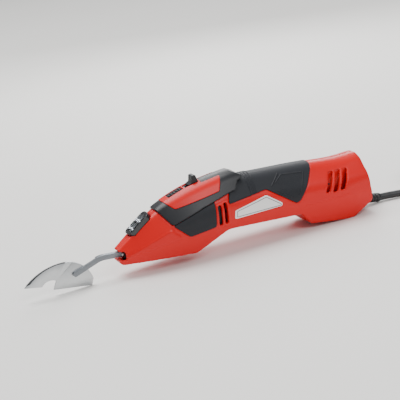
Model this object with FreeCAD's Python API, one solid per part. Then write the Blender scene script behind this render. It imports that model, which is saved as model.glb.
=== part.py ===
"""Electric grout and joint scraper: straight body, rocking shank, half-moon blade, mains lead.

The tool is drawn along its own axis: +X from nose to tail, +Y to the right-hand side, +Z up, in
millimetres. At the end every piece is tilted into the pose in which the tool lies on a flat surface,
with the heel of the blade and the tail touching it, and the origin is set under the tool's middle.
"""
import FreeCAD
import Part
import math
import os

V = FreeCAD.Vector

# ---- driving dimensions, mm ----
WALL = 2.6                # housing wall
PAD_DEPTH = 1.3           # how deep the soft pads and the hood are let into the wall
PAD_PROUD = 0.6           # how far the soft pads stand out
FRAME_PROUD = 0.8         # raised frames round the vents and the name plates
FAR = 60.0                # longer than the tool is wide, for cuts right through

HEEL = (-114.6, -9.7)     # lowest point of the blade
REST_TILT = 3.936         # degrees between the tool's axis and the surface it lies on
REST_FLAT = (143.0, 154.0)   # where the flat under the tail starts and ends

MOTOR_Z = 45.3            # height of the motor's axis
PIVOT = (-50.0, 22.0)     # rocker pivot, x and z
HOLDER_Z = 14.0           # height of the shank's straight part
NOSE_SLOT = 3.9           # half height of the slot that the shank rocks in
PIN_R = 3.0
PIN_REACH = 14.5          # half the pivot pin's length
THROW = 0.8               # offset of the eccentric pin
ROCK_LIMIT = math.degrees(math.atan(THROW / 48.0))
RUNNING_FIT = 0.03        # radial play of a shaft in its bearing

SLIDE_X = -6.6            # middle of the switch knob at rest
SLIDE_Z = 67.2
SLIDE_SLOPE = 14.0        # degrees
SLIDE_TRAVEL = 4.5

CORD_D = 7.0
SLEEVE_Z = 19.3
HANK_CENTRE = (309.0, 13.4)   # middle of the tied hank that the spare lead is wound into
HANK_REACH = 25.0         # from there to the centre of each fold
HANK_OUTER = 36.4         # radius of the outermost fold
HANK_INNER = 22.0         # radius of the innermost fold, just over three diameters
HANK_PITCH = 7.2
HANK_HEIGHT = 22.8
PLUG_LENGTH = 40.0
PLUG_HALF = 17.5          # half the plug's width at its face
PLUG_THICK = 14.4
PLUG_PIN_R = 2.0
PLUG_PIN_Y = 9.3          # from the plug's middle to each pin
PLUG_PIN_LENGTH = 19.0

# x, top z, half width at the top, half width at the side, z of shoulder, z of waist, half width at the foot,
# and the rounding at each of those four corners
STATIONS = [
    (-92, 17.0, 5.0, 8.2, 12.5, 9.5, 6.5, (2.0, 1.5, 3, 2)),
    (-84, 22.8, 5.6, 10.2, 14.5, 11, 8.2, (2.5, 2, 4, 2)),
    (-73, 31.6, 6.6, 13.2, 18.5, 13, 10.5, (3.5, 3, 6, 2)),
    (-60, 41.2, 7.6, 16.6, 24, 15.5, 13, (5, 5, 8, 2)),
    (-47, 50.0, 8.4, 19.6, 30, 18, 15, (8, 8, 10, 2)),
    (-32, 57.6, 9.2, 22.2, 36, 22, 17, (12, 14, 14, 2)),
    (-14, 64.0, 9.8, 24.0, 42, 27, 18.5, (16, 22, 18, 2)),
    (8, 67.6, 10, 24.5, 46, 31, 19, (18, 28, 20, 2)),
    (30, 68.2, 10, 24.5, 47, 32, 19, (19, 29, 20, 2)),
    (70, 68.2, 10, 24.5, 47, 32, 19, (19, 29, 20, 2)),
    (110, 68.0, 10, 25.2, 47, 32, 19.6, (19, 29, 20, 2)),
    (150, 67.6, 10, 26, 47, 32, 20.4, (19, 29, 20, 2)),
    (180, 67.4, 10, 26, 47, 32, 20.4, (19, 29, 20, 2)),
]
HOOD_LIFT = [1.2, 1.2, 1.2, 1.2, 1.2, 1.0, 1.4, 2.9, 6.1, 6.1, 6.1, 6.1, 6.1]

# side outline of the body: corner points and their rounding
OUTLINE = [(-88.3, 110), (-88.3, 5.2), (-14.9, 5.6), (17.5, 22.8), (94.5, 22.6),
           (105, 10.6), (151, 7.6), (172.9, 22.6), (166.2, 68.2), (159, 110)]
OUTLINE_ROUND = [0, 4.5, 5, 18, 3.5, 4.5, 9, 5, 6, 0]

# side outlines of what is laid on the body
HOOD = [(-63, 70), (-37.2, 36.4), (-5.5, 48.4), (22.7, 57.1), (29, 58.4), (33.5, 66), (41, 69.3),
        (30, 74.6), (20, 82), (-63, 82)]
HOOD_ROUND = [0, 2, 0, 0, 2, 0, 1.5, 5, 0, 0]
INSERT = [(-46, 62), (-32, 50.3), (12.9, 60), (18.5, 73), (18, 80), (-46, 80)]
INSERT_ROUND = [0, 3, 2.5, 0, 0, 0]
FRONT_PAD = [(-36.9, 36.0), (-21.7, 23.4), (4.6, 28.1), (5.4, 45.6), (5.6, 51.2), (-5.5, 47.9)]
FRONT_PAD_ROUND = [1, 3, 2.5, 0, 0, 0]
GRIP_PAD = [(18.7, 46.8), (59.9, 53.5), (89.2, 35.2), (93.7, 37.3), (107, 56.6), (113.6, 67),
            (117, 80), (41, 80), (41, 69.3), (33.5, 66), (29, 58.4), (22.7, 57.1)]
GRIP_PAD_ROUND = [1.5, 5, 2, 2, 4, 0, 0, 0, 0, 0, 0, 0]
PLATE = [(24.6, 40.0), (58.3, 48.6), (77.9, 36.0), (23.6, 31.9)]
PLATE_ROUND = [1.5, 3, 2, 1.5]
ARROW = [(-84.2, 11.6), (-29.8, 23.5), (-40.5, 32.6), (-79, 14.2)]
VENT_FRAME = [(6.2, 27.2), (18.5, 28.2), (18.5, 51.4), (6.2, 48.4)]
FRONT_VENTS = [[(7.6, 28.8), (11.1, 29.2), (11.1, 48.0), (7.6, 47.2)],
               [(13.8, 29.4), (16.9, 29.7), (16.9, 49.6), (13.8, 48.8)]]
REAR_VENTS = [[(128.6, 57.3), (133.7, 57.3), (124.6, 39.4), (120.8, 39.4)],
              [(136.7, 57.8), (141.6, 57.8), (132.9, 38.7), (128.2, 38.7)],
              [(144.9, 57.7), (149.3, 57.7), (141.2, 39.4), (136.1, 39.4)]]

BOSSES = [(-70, 25), (-28, 12.5), (-36, 46.5), (108, 18), (132, 61), (159, 58)]
BOSS_R = 4.0
SCREW_R = 1.4
SCREW_HEAD_R = 2.9
SCREW_SEAT = 8.0          # how far the heads sit from the middle plane


# ---- small geometry helpers ----
def rounded_loop(points, radii):
    """Start, middle and end of the arc at each corner of a closed outline."""
    corners = []
    for i, corner in enumerate(points):
        before = points[i - 1]
        after = points[(i + 1) % len(points)]
        a = (before[0] - corner[0], before[1] - corner[1])
        b = (after[0] - corner[0], after[1] - corner[1])
        shorter = min(math.hypot(*a), math.hypot(*b))
        a = (a[0] / math.hypot(*a), a[1] / math.hypot(*a))
        b = (b[0] / math.hypot(*b), b[1] / math.hypot(*b))
        half = math.acos(max(-1, min(1, a[0] * b[0] + a[1] * b[1]))) / 2
        if radii[i] <= 0:
            corners.append((corner, None, corner))
            continue
        reach = min(radii[i] / math.tan(half), 0.45 * shorter)
        radius = reach * math.tan(half)
        start = (corner[0] + a[0] * reach, corner[1] + a[1] * reach)
        end = (corner[0] + b[0] * reach, corner[1] + b[1] * reach)
        bisector = (a[0] + b[0], a[1] + b[1])
        length = math.hypot(*bisector)
        inward = (bisector[0] / length, bisector[1] / length)
        centre_gap = radius / math.sin(half) - radius
        middle = (corner[0] + inward[0] * centre_gap, corner[1] + inward[1] * centre_gap)
        corners.append((start, middle, end))
    return corners


def outline_wire(points, radii, place):
    """Closed wire of lines and corner arcs; place turns a 2-D point into a 3-D one."""
    corners = rounded_loop(points, radii or [0] * len(points))
    edges = []
    for i, (start, middle, end) in enumerate(corners):
        if middle is not None:
            edges.append(Part.Arc(place(start), place(middle), place(end)).toShape())
        following = corners[(i + 1) % len(corners)][0]
        if math.dist(end, following) > 1e-6:
            edges.append(Part.LineSegment(place(end), place(following)).toShape())
    return Part.Wire(edges)


def side_prism(points, radii=None, y_from=-FAR, y_to=FAR):
    """Outline in the side view, extruded across the tool."""
    wire = outline_wire(points, radii, lambda p: V(p[0], y_from, p[1]))
    return Part.Face(wire).extrude(V(0, y_to - y_from, 0))


def box(x_from, x_to, y_from, y_to, z_from, z_to):
    return Part.makeBox(x_to - x_from, y_to - y_from, z_to - z_from, V(x_from, y_from, z_from))


def rod_x(radius, x_from, x_to, y=0.0, z=MOTOR_Z):
    return Part.makeCylinder(radius, x_to - x_from, V(x_from, y, z), V(1, 0, 0))


def rod_y(radius, y_from, y_to, x, z):
    return Part.makeCylinder(radius, y_to - y_from, V(x, y_from, z), V(0, 1, 0))


def rod_z(radius, z_from, z_to, x, y=0.0):
    return Part.makeCylinder(radius, z_to - z_from, V(x, y, z_from), V(0, 0, 1))


def ring_x(outer, inner, x_from, x_to):
    return rod_x(outer, x_from, x_to).cut(rod_x(inner, x_from, x_to))


def on_slope(shape, x, z, slope):
    """Lay a shape drawn flat at the origin on a face that climbs towards the tail."""
    shape.Placement = FreeCAD.Placement(V(x, 0, z), FreeCAD.Rotation(V(0, 1, 0), -slope))
    return shape


def fuse(shapes):
    return shapes[0].multiFuse(shapes[1:]).removeSplitter() if len(shapes) > 1 else shapes[0]


def grown_outline(points, distance):
    """The outline with every side moved outwards; the points run anticlockwise round the inside."""
    moved = []
    for i, point in enumerate(points):
        following = points[(i + 1) % len(points)]
        dx = following[0] - point[0]
        dz = following[1] - point[1]
        length = math.hypot(dx, dz)
        moved.append((point[0] + dz / length * distance, point[1] - dx / length * distance, dx, dz))
    grown = []
    for i in range(len(points)):
        x1, z1, dx1, dz1 = moved[i - 1]
        x2, z2, dx2, dz2 = moved[i]
        share = ((x2 - x1) * dz2 - (z2 - z1) * dx2) / (dx1 * dz2 - dz1 * dx2)
        grown.append((x1 + share * dx1, z1 + share * dz1))
    return grown


# ---- the body's outer form and the skins laid on it ----
def lofted_form(grow, lift=None):
    """Body cross-sections lofted along the tool, grown all round by a distance."""
    sections = []
    for i, (x, top, top_w, side_w, shoulder, waist, foot_w, radii) in enumerate(STATIONS):
        crown = top + grow + (lift[i] if lift else 0)
        half = [(top_w + 0.6 * grow, crown), (side_w + grow, shoulder + 0.4 * grow),
                (side_w + grow, waist), (foot_w + grow, 0)]
        points = half + [(-y, z) for y, z in reversed(half)]
        corner_radii = [max(r + 0.8 * grow, 0.8) for r in radii]
        sections.append(outline_wire(points, corner_radii + corner_radii[::-1],
                                     lambda p, x=x: V(x, p[0], p[1])))
    return Part.makeLoft(sections, True, False)


FORMS = {}


def body_form(grow):
    """The whole body, grown (or shrunk) by a distance."""
    if grow not in FORMS:
        radii = [max(r - abs(grow) * 0.5, 0.5) if r else 0 for r in OUTLINE_ROUND]
        FORMS[grow] = lofted_form(grow).common(side_prism(grown_outline(OUTLINE, grow), radii))
    return FORMS[grow]


def skin(points, radii, outside, inside):
    """A layer over the body, limited to an outline in the side view."""
    return body_form(outside).cut(body_form(inside)).common(side_prism(points, radii))


def halves(shape):
    """The shape split on the middle plane, each side as its one large solid."""
    sides = [shape.common(box(-300, 300, low, high, -50, 150)) for low, high in ((-FAR, 0), (0, FAR))]
    return [max(side.Solids, key=lambda solid: solid.Volume) for side in sides]


def table_height(x):
    """Height, on the tool's own axis system, of the surface that the tool lies on."""
    return HEEL[1] + math.tan(math.radians(REST_TILT)) * (x - HEEL[0])


# ---- housing ----
def boss_posts():
    """Solid posts across the cavity that the screws run in."""
    return [rod_y(BOSS_R, -FAR, FAR, x, z).common(body_form(-0.5)) for x, z in BOSSES]


def pivot_sockets():
    """Blind sockets on both shells for the ends of the pivot pin."""
    posts = rod_y(6.0, -FAR, FAR, *PIVOT).common(body_form(-0.5))
    return posts.cut(box(-80, -20, -8, 8, 0, 60))


def pin_space():
    return rod_y(PIN_R, -PIN_REACH, PIN_REACH, *PIVOT)


def ring_rib(x_from, x_to, bore):
    """Rib across the cavity with a round seat on the motor's axis."""
    return body_form(-0.5).common(box(x_from, x_to, -FAR, FAR, 0, 100)).cut(rod_x(bore, x_from, x_to))


def housing_screw_holes():
    holes = []
    for x, z in BOSSES:
        holes.append(rod_y(SCREW_HEAD_R + 0.2, SCREW_SEAT, FAR, x, z))
        holes.append(rod_y(SCREW_R, -9.0, SCREW_SEAT, x, z))
    return holes


def tail_flat():
    """What is ground off under the tail so that it sits flat on a surface."""
    start, end = REST_FLAT
    return side_prism([(start, table_height(start)), (end, table_height(end)), (end, -20), (start, -20)])


def sleeve_hole():
    return rod_x(5.2, 140, 200, 0, SLEEVE_Z)


def make_housing():
    shell = body_form(0).cut(body_form(-WALL))
    raised = [skin(ARROW, None, FRAME_PROUD, -1.0),
              skin(grown_outline(PLATE, 2.2), [2.5] * 4, FRAME_PROUD, -1.0),
              skin(VENT_FRAME, [1, 1, 1, 1], FRAME_PROUD, -1.0)]
    ribs = [ring_rib(50, 52, 17.5), ring_rib(78, 80, 17.5), ring_rib(117, 119, 13.0),
            ring_rib(15.5, 17.5, 14.5)]
    shell = shell.multiFuse(raised + ribs + boss_posts() + [pivot_sockets()])
    cuts = [skin(HOOD, HOOD_ROUND, 12.0, -PAD_DEPTH),
            skin(FRONT_PAD, FRONT_PAD_ROUND, 4.0, -PAD_DEPTH),
            skin(GRIP_PAD, GRIP_PAD_ROUND, 4.0, -PAD_DEPTH),
            skin(PLATE, PLATE_ROUND, 4.0, -0.5)]
    cuts += [side_prism(vent) for vent in FRONT_VENTS + REAR_VENTS]
    cuts += [box(-100, -82, -FAR, FAR, HOLDER_Z - NOSE_SLOT, HOLDER_Z + NOSE_SLOT),
             box(15, 30, -7.2, 7.2, 58, 64.4),
             rod_z(2.6, 0, 12, -66), lamp_pocket(), slide_slot(), link_channel(),
             sleeve_hole(), tail_flat(), pin_space()]
    cuts += [rod_x(2.4, 116, 120, y, MOTOR_Z + 1.8) for y in (-16.6, 16.6)]
    shell = shell.cut(cuts + housing_screw_holes())
    return halves(shell)


def make_screws():
    screws = []
    for x, z in BOSSES:
        screw = rod_y(SCREW_R, -8.5, SCREW_SEAT, x, z)
        head = rod_y(SCREW_HEAD_R, SCREW_SEAT, SCREW_SEAT + 2.2, x, z)
        drive = rod_y(1.1, SCREW_SEAT + 1.0, SCREW_SEAT + 2.2, x, z)
        screws.append(screw.fuse(head).cut(drive))
    return Part.makeCompound(screws)


def make_hood():
    cover = lofted_form(1.2, HOOD_LIFT).cut(body_form(-PAD_DEPTH))
    cover = cover.common(side_prism(HOOD, HOOD_ROUND))
    return cover.cut([insert_space(), slide_bed(), slide_slot(), marker_space(), lamp_pocket()])


def insert_space():
    layer = lofted_form(8.0, HOOD_LIFT).cut(lofted_form(0.2, HOOD_LIFT))
    layer = layer.common(side_prism(INSERT, INSERT_ROUND))
    return layer.cut(box(-0.4, 40, -8, 8, 60, 90))


def make_hood_insert():
    layer = lofted_form(1.7, HOOD_LIFT).cut(lofted_form(0.2, HOOD_LIFT))
    layer = layer.common(side_prism(INSERT, INSERT_ROUND))
    layer = layer.cut(box(-0.4, 40, -8, 8, 60, 90))
    return layer.cut([slide_bed(), slide_slot(), marker_space()])


MARKER = (-25.4, 61.6, 20.5)   # x, z and slope of the ribbed plate in front of the switch


def marker_space():
    return on_slope(box(-8.2, 8.2, -5.0, 5.0, -1.2, 6.0), *MARKER)


def make_marker_plate():
    plate = box(-8.2, 8.2, -5.0, 5.0, -1.2, 0.3)
    ribs = [box(x - 0.7, x + 0.7, -3.6, 3.6, 0.3, 1.1) for x in (-6.0, -3.0, 0.0, 3.0, 6.0)]
    return on_slope(fuse([plate] + ribs), *MARKER)


def make_pads():
    front = skin(FRONT_PAD, FRONT_PAD_ROUND, PAD_PROUD, -PAD_DEPTH)
    grip = skin(GRIP_PAD, GRIP_PAD_ROUND, PAD_PROUD, -PAD_DEPTH)
    return halves(front), grip


def make_name_plates():
    return skin(PLATE, PLATE_ROUND, 0.3, -0.5)


# ---- work lamp on the nose ----
LAMP = (-63.9, 38.6, 38.5)   # x, z and slope of the lamp's seat
LAMP_LENGTH = 27.0
LAMP_WIDTH = 15.0


def lamp_block(length, width, z_from, z_to, rounding):
    points = [(-length / 2, -width / 2), (length / 2, -width / 2),
              (length / 2, width / 2), (-length / 2, width / 2)]
    wire = outline_wire(points, [rounding] * 4, lambda p: V(p[0], p[1], z_from))
    return Part.Face(wire).extrude(V(0, 0, z_to - z_from))


def lamp_pocket():
    return on_slope(lamp_block(LAMP_LENGTH, LAMP_WIDTH, -4.5, 12.0, 5.0), *LAMP)


def make_lamp():
    bezel = lamp_block(LAMP_LENGTH, LAMP_WIDTH, -4.5, 2.8, 5.0)
    room = lamp_block(LAMP_LENGTH - 3, LAMP_WIDTH - 3, -4.5, -0.6, 3.5)
    lens_holes = [lamp_block(20.0, 4.6, -1.0, 3.0, 2.2).translated(V(0, y, 0)) for y in (-3.1, 3.1)]
    bezel = bezel.cut([room] + lens_holes)
    lenses = [lamp_block(20.0, 4.6, -0.6, 3.3, 2.2).translated(V(0, y, 0)) for y in (-3.1, 3.1)]
    board = [lamp_block(LAMP_LENGTH - 3, LAMP_WIDTH - 3, -4.5, -3.0, 3.5)]
    board += [box(x - 1.4, x + 1.4, y - 1.4, y + 1.4, -3.0, -1.6) for x in (-5, 5) for y in (-3.1, 3.1)]
    return (on_slope(bezel, *LAMP), on_slope(Part.makeCompound(lenses), *LAMP),
            on_slope(fuse(board), *LAMP))


# ---- switch slide ----
def slide_bed():
    """Flat recess that the knob runs in."""
    return on_slope(box(-5.4 - SLIDE_TRAVEL, 5.4, -5.0, 5.0, 0, 12), SLIDE_X, SLIDE_Z, SLIDE_SLOPE)


def slide_slot():
    return on_slope(box(-2.9 - SLIDE_TRAVEL, 2.9, -2.4, 2.4, -9, 3), SLIDE_X, SLIDE_Z, SLIDE_SLOPE)


def link_channel():
    """Room under the roof of the housing for the sliding link."""
    return on_slope(box(-4.4 - SLIDE_TRAVEL, 12.4, -3.4, 3.4, -10.0, -4.2), SLIDE_X, SLIDE_Z, SLIDE_SLOPE)


def make_slide():
    profile = [(-5.0, 0.25), (-5.0, 1.6), (-1.2, 2.8), (0.8, 8.4), (4.4, 8.4), (5.0, 1.6), (5.0, 0.25)]
    knob = side_prism(profile, [0, 0.6, 1.5, 1.2, 1.2, 0.5, 0], -4.6, 4.6)
    stem = box(-2.5, 2.5, -2.0, 2.0, -4.6, 0.25)
    link = box(-4.0, 12.0, -3.0, 3.0, -6.0, -4.6)
    hook = box(10.6, 12.0, -3.0, 3.0, -7.4, -6.0)
    place = (SLIDE_X, SLIDE_Z, SLIDE_SLOPE)
    return on_slope(fuse([knob, stem]), *place), on_slope(fuse([link, hook]), *place)


# ---- rocker, tool holder, shank and blade ----
BLADE_T = 1.8
SHANK_D = 4.8
FORK_GAP = 9.8            # half opening of the fork round the roller


def make_rocker():
    arm = side_prism([(-56, 10.5), (-46, 15.5), (-9.5, 31), (-9.5, 57.7), (-12.5, 57.7), (-12.5, 44),
                      (-52, 29)], [2, 3, 2, 0, 0, 4, 5], -5, 5)
    hub = rod_y(7.0, -6.5, 6.5, *PIVOT)
    prongs = [box(-10, 1.2, -6, 6, MOTOR_Z + FORK_GAP, MOTOR_Z + FORK_GAP + 2.6),
              box(-10, 1.2, -6, 6, MOTOR_Z - FORK_GAP - 3.5, MOTOR_Z - FORK_GAP)]
    arm = fuse([arm, hub] + prongs)
    return arm.cut([rod_y(4.6, -10, 10, *PIVOT), box(-90, -57, -10, 10, 0, 30)])


def make_pivot():
    bush = rod_y(4.6, -6.5, 6.5, *PIVOT).cut(rod_y(PIN_R + RUNNING_FIT, -6.5, 6.5, *PIVOT))
    return bush, pin_space()


def make_holder():
    body = rod_x(4.6, -84.4, -57.0, 0, HOLDER_Z).fuse(box(-66, -57, -4.6, 4.6, HOLDER_Z, HOLDER_Z + 9))
    body = body.cut([shank_bar(), rod_z(1.5, 5, HOLDER_Z, -66)])
    screw = rod_z(1.5, HOLDER_Z - 5.2, HOLDER_Z - 2.4, -66)
    screw = screw.cut(rod_z(0.8, HOLDER_Z - 6, HOLDER_Z - 4.2, -66))
    return body, screw


def shank_outline(width):
    """Closed outline of a bar that follows the shank's bend."""
    centre = [(-62.0, HOLDER_Z), (-104.5, HOLDER_Z + 0.6), (-131.8, 3.6)]
    upper = []
    lower = []
    for i, (x, z) in enumerate(centre):
        before = centre[max(i - 1, 0)]
        after = centre[min(i + 1, len(centre) - 1)]
        dx = after[0] - before[0]
        dz = after[1] - before[1]
        length = math.hypot(dx, dz)
        upper.append((x + dz / length * width / 2, z - dx / length * width / 2))
        lower.append((x - dz / length * width / 2, z + dx / length * width / 2))
    return upper + lower[::-1]


def shank_bar():
    half = SHANK_D / 2
    return side_prism(shank_outline(SHANK_D), [0, 22, 2.2, 2.2, 18, 0], -half, half)


def make_shank():
    """The bar, halved in thickness where the blade lies against it."""
    return shank_bar().cut(box(-140, -108.5, 0, 4, -5, 20))


def blade_face(y):
    """Half-moon blade: two arcs over the top, a straight foot and a scooped notch."""
    def at(x, z):
        return V(x, y, z)
    tip = at(-178.4, 0.5)
    crown = at(-138.5, 17.2)
    shoulder = at(-112.6, -3.2)
    heel = at(*HEEL)
    notch = at(-151.4, -6.5)
    notch_top = at(-148.0, 1.6)
    notch_low = at(-162.0, -1.6)
    edges = [Part.Arc(tip, at(-159.6, 13.0), crown).toShape(),
             Part.Arc(crown, at(-120.4, 10.0), shoulder).toShape(),
             Part.LineSegment(shoulder, heel).toShape(),
             Part.LineSegment(heel, notch).toShape(),
             Part.LineSegment(notch, notch_top).toShape(),
             Part.Arc(notch_top, at(-153.4, 2.9), notch_low).toShape(),
             Part.LineSegment(notch_low, tip).toShape()]
    return Part.Face(Part.Wire(edges))


def make_blade():
    """The plate and the gritted band along its leading arc."""
    plate = blade_face(0).extrude(V(0, BLADE_T, 0))
    band = blade_face(-0.25).extrude(V(0, BLADE_T + 0.5, 0))
    keep = rod_y(48.2, -5, 5, -139.6, -31.6)
    band = band.cut(keep).common(side_prism([(-180, 30), (-180, 1.6), (-138, 12), (-138, 30)]))
    return plate.cut(band), band


# ---- motor ----
def make_bearing(x_from, x_to, bore, outside, balls):
    """Inner ring, outer ring, and the balls in their cage."""
    ring = (outside - bore) * 0.28
    middle = (outside + bore) / 2
    ball_r = (outside - bore - 2 * ring) / 2 - RUNNING_FIT
    inner = ring_x(bore + ring, bore, x_from, x_to)
    outer = ring_x(outside, outside - ring, x_from, x_to)
    x_mid = (x_from + x_to) / 2
    pockets = []
    spheres = []
    for i in range(balls):
        turn = 2 * math.pi * (i + 0.5) / balls
        radial = V(0, math.cos(turn), math.sin(turn))
        centre = V(x_mid, 0, MOTOR_Z).add(V(radial).multiply(middle))
        spheres.append(Part.makeSphere(ball_r, centre, V(1, 0, 0)))
        foot = V(x_mid, 0, MOTOR_Z).add(V(radial).multiply(middle - 2))
        pockets.append(Part.makeCylinder(ball_r + 0.05, 4, foot, radial))
    cage = ring_x(middle + 0.5, middle - 0.5, x_mid - ball_r - 0.5, x_mid + ball_r + 0.5).cut(pockets)
    return inner, outer, Part.makeCompound([cage] + spheres)


def make_shaft():
    return fuse([rod_x(4.0, 8.0, 112.0), rod_x(3.0, 112.0, 126.0)])


def make_eccentric():
    """Hub pressed on the shaft, with its offset pin and the weight that balances it."""
    hub = rod_x(8.0, 6.0, 14.0)
    weight = rod_x(12.0, 6.0, 11.0).common(box(0, 20, -20, 20, 0, MOTOR_Z - 3))
    pin = rod_x(2.5, -5.6, 6.0, 0, MOTOR_Z + THROW)
    roller = rod_x(8.0, -4.6, 0.6, 0, MOTOR_Z + THROW)
    roller = roller.cut(rod_x(2.5 + RUNNING_FIT, -4.6, 0.6, 0, MOTOR_Z + THROW))
    return fuse([hub, weight, pin]).cut(rod_x(4.0, 8.0, 14.0)), roller


def make_armature():
    """Slotted core, the copper in its slots, and the commutator."""
    slots = []
    wires = []
    for i in range(10):
        turn = 36.0 * i
        slot = box(44, 86, -1.3, 1.3, MOTOR_Z + 6.5, MOTOR_Z + 12)
        slot.rotate(V(0, 0, MOTOR_Z), V(1, 0, 0), turn)
        wire = box(46, 84, -1.3, 1.3, MOTOR_Z + 6.5, MOTOR_Z + 10)
        wire.rotate(V(0, 0, MOTOR_Z), V(1, 0, 0), turn)
        slots.append(slot)
        wires.append(wire)
    core = ring_x(10.6, 4.0, 46, 84).cut(slots)
    windings = fuse([ring_x(10.0, 4.0, 41, 46), ring_x(10.0, 4.0, 84, 90)] + wires)
    grooves = []
    for i in range(20):
        groove = box(95, 107, -0.25, 0.25, MOTOR_Z + 7.0, MOTOR_Z + 9)
        groove.rotate(V(0, 0, MOTOR_Z), V(1, 0, 0), 18.0 * i)
        grooves.append(groove)
    commutator = ring_x(8.0, 4.0, 96, 106).cut(grooves)
    return core, windings, commutator


def make_fan():
    parts = [ring_x(6.0, 4.0, 29, 37), ring_x(15.5, 5.0, 35.6, 37)]
    for i in range(9):
        blade = box(29.5, 36.0, -0.7, 0.7, MOTOR_Z + 5.0, MOTOR_Z + 15.3)
        blade.rotate(V(32, 0, MOTOR_Z + 10), V(0, 0, 1), 28)
        blade.rotate(V(0, 0, MOTOR_Z), V(1, 0, 0), 40.0 * i)
        parts.append(blade)
    return fuse(parts)


def sector_x(outer, inner, x_from, x_to, half_angle, towards):
    """Part of a ring within an angle either side of straight up, turned to face a direction."""
    reach = 3 * outer
    edge = reach * math.tan(math.radians(half_angle))
    wedge = Part.makePolygon([V(x_from, 0, MOTOR_Z), V(x_from, edge, MOTOR_Z + reach),
                              V(x_from, -edge, MOTOR_Z + reach), V(x_from, 0, MOTOR_Z)])
    wedge = Part.Face(wedge).extrude(V(x_to - x_from, 0, 0))
    wedge.rotate(V(0, 0, MOTOR_Z), V(1, 0, 0), towards)
    return ring_x(outer, inner, x_from, x_to).common(wedge)


def make_stator():
    """Laminated ring with an upper and a lower pole, and the two field coils between them."""
    poles = [sector_x(15.0, 11.2, 46, 84, 52, towards) for towards in (0, 180)]
    core = fuse([ring_x(17.5, 14.5, 46, 84)] + poles)
    coils = [sector_x(14.4, 11.4, 40.5, 89.5, 34, towards) for towards in (90, 270)]
    return core, Part.makeCompound(coils)


def make_brush_gear():
    """Two sprung carbon brushes on the commutator, one each side."""
    tubes, brushes, springs = [], [], []
    for side in (-1, 1):
        near, far = sorted((side * 9.2, side * 20.0))
        tube = box(98, 104, near, far, MOTOR_Z - 3.5, MOTOR_Z + 3.5)
        tubes.append(tube.cut(box(99, 103, near, far, MOTOR_Z - 2.5, MOTOR_Z + 2.5)))
        near, far = sorted((side * 8.1, side * 15.0))
        brushes.append(box(99.05, 102.95, near, far, MOTOR_Z - 2.4, MOTOR_Z + 2.4))
        near, far = sorted((side * 15.0, side * 19.6))
        springs.append(rod_y(1.8, near, far, 101, MOTOR_Z).cut(rod_y(1.1, near, far, 101, MOTOR_Z)))
    return [Part.makeCompound(group) for group in (tubes, brushes, springs)]


def make_bearing_bridge():
    """Cast plate across the housing that carries the motor's front bearing."""
    plate = body_form(-WALL).common(box(17.5, 24.5, -FAR, FAR, 0, 58.0))
    windows = [rod_x(3.2, 17, 25, y, z) for y in (-15.5, 15.5) for z in (MOTOR_Z - 9, MOTOR_Z)]
    return plate.cut(windows + [rod_x(11.0, 17.5, 24.5)])


def make_air_baffle():
    return body_form(-WALL).common(box(38.2, 39.6, -FAR, FAR, 0, 100)).cut(rod_x(12.5, 38, 40))


def make_rear_seat():
    return ring_x(13.0, 9.5, 115.5, 123.5)


# ---- electrics ----
def make_power_switch():
    body = box(15.2, 29.5, -7.0, 7.0, 58.2, 64.2)
    plunger = box(7.4, 15.2, -2.0, 2.0, 59.6, 61.2)
    return fuse([body, plunger])


def make_control_board():
    board = box(128, 154, -14, 14, 49.0, 50.6)
    parts = [box(131, 139, -9, -1, 50.6, 54.6), box(142, 150, -9, 2, 50.6, 53.8),
             rod_z(3.6, 50.6, 56.0, 135, 6.5), rod_z(2.6, 50.6, 55.0, 146, 8)]
    return fuse([board] + parts)


def make_suppressor():
    return Part.makeBox(16, 12, 9, V(128, -6, 34))


def make_terminal_block():
    block = box(146, 156, -11, 11, 32, 41)
    return block.cut([rod_z(1.8, 36, 42, 151, y) for y in (-6.5, 0, 6.5)])


def make_cord_clamp():
    saddle = box(139, 147, -9, 9, SLEEVE_Z + 1.2, SLEEVE_Z + 6.2)
    saddle = saddle.cut(rod_x(CORD_D / 2, 139, 147, 0, SLEEVE_Z))
    holes = [rod_z(1.4, SLEEVE_Z, SLEEVE_Z + 7, 143, y) for y in (-6.3, 6.3)]
    screws = [rod_z(1.4, SLEEVE_Z - 5, SLEEVE_Z + 6.2, 143, y).fuse(
        rod_z(2.5, SLEEVE_Z + 6.2, SLEEVE_Z + 8.0, 143, y)) for y in (-6.3, 6.3)]
    return saddle.cut(holes), Part.makeCompound(screws)


def wire_run(points, radius):
    """Insulated wire through a few points, with round corners."""
    parts = []
    for a, b in zip(points, points[1:]):
        span = V(*b).sub(V(*a))
        parts.append(Part.makeCylinder(radius, span.Length, V(*a), span))
        parts.append(Part.makeSphere(radius, V(*b)))
    return fuse(parts)


def make_wiring():
    motor = [wire_run([(101, side * 16.0, 49.8), (110, side * 16.6, 49.0), (116, side * 16.6, 47.0),
                       (124, side * 16.6, 46.0), (142, side * 12.4, 42.2)], 0.9) for side in (-1, 1)]
    lamp = wire_run([(-46, 4, 40.5), (-36, 9.0, 40.5), (-16, 9.5, 51.5), (6, 10.6, 55.0),
                     (14.4, 8.2, 60.4)], 0.7)
    return Part.makeCompound(motor), lamp


# ---- mains lead ----
def to_rest(point):
    """A point on the tool, moved into the pose in which the tool lies on its surface."""
    tilt = math.radians(REST_TILT)
    x = point[0] * math.cos(tilt) + point[2] * math.sin(tilt) + SHIFT[0]
    z = -point[0] * math.sin(tilt) + point[2] * math.cos(tilt) + SHIFT[1]
    return V(x, point[1], z)


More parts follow.
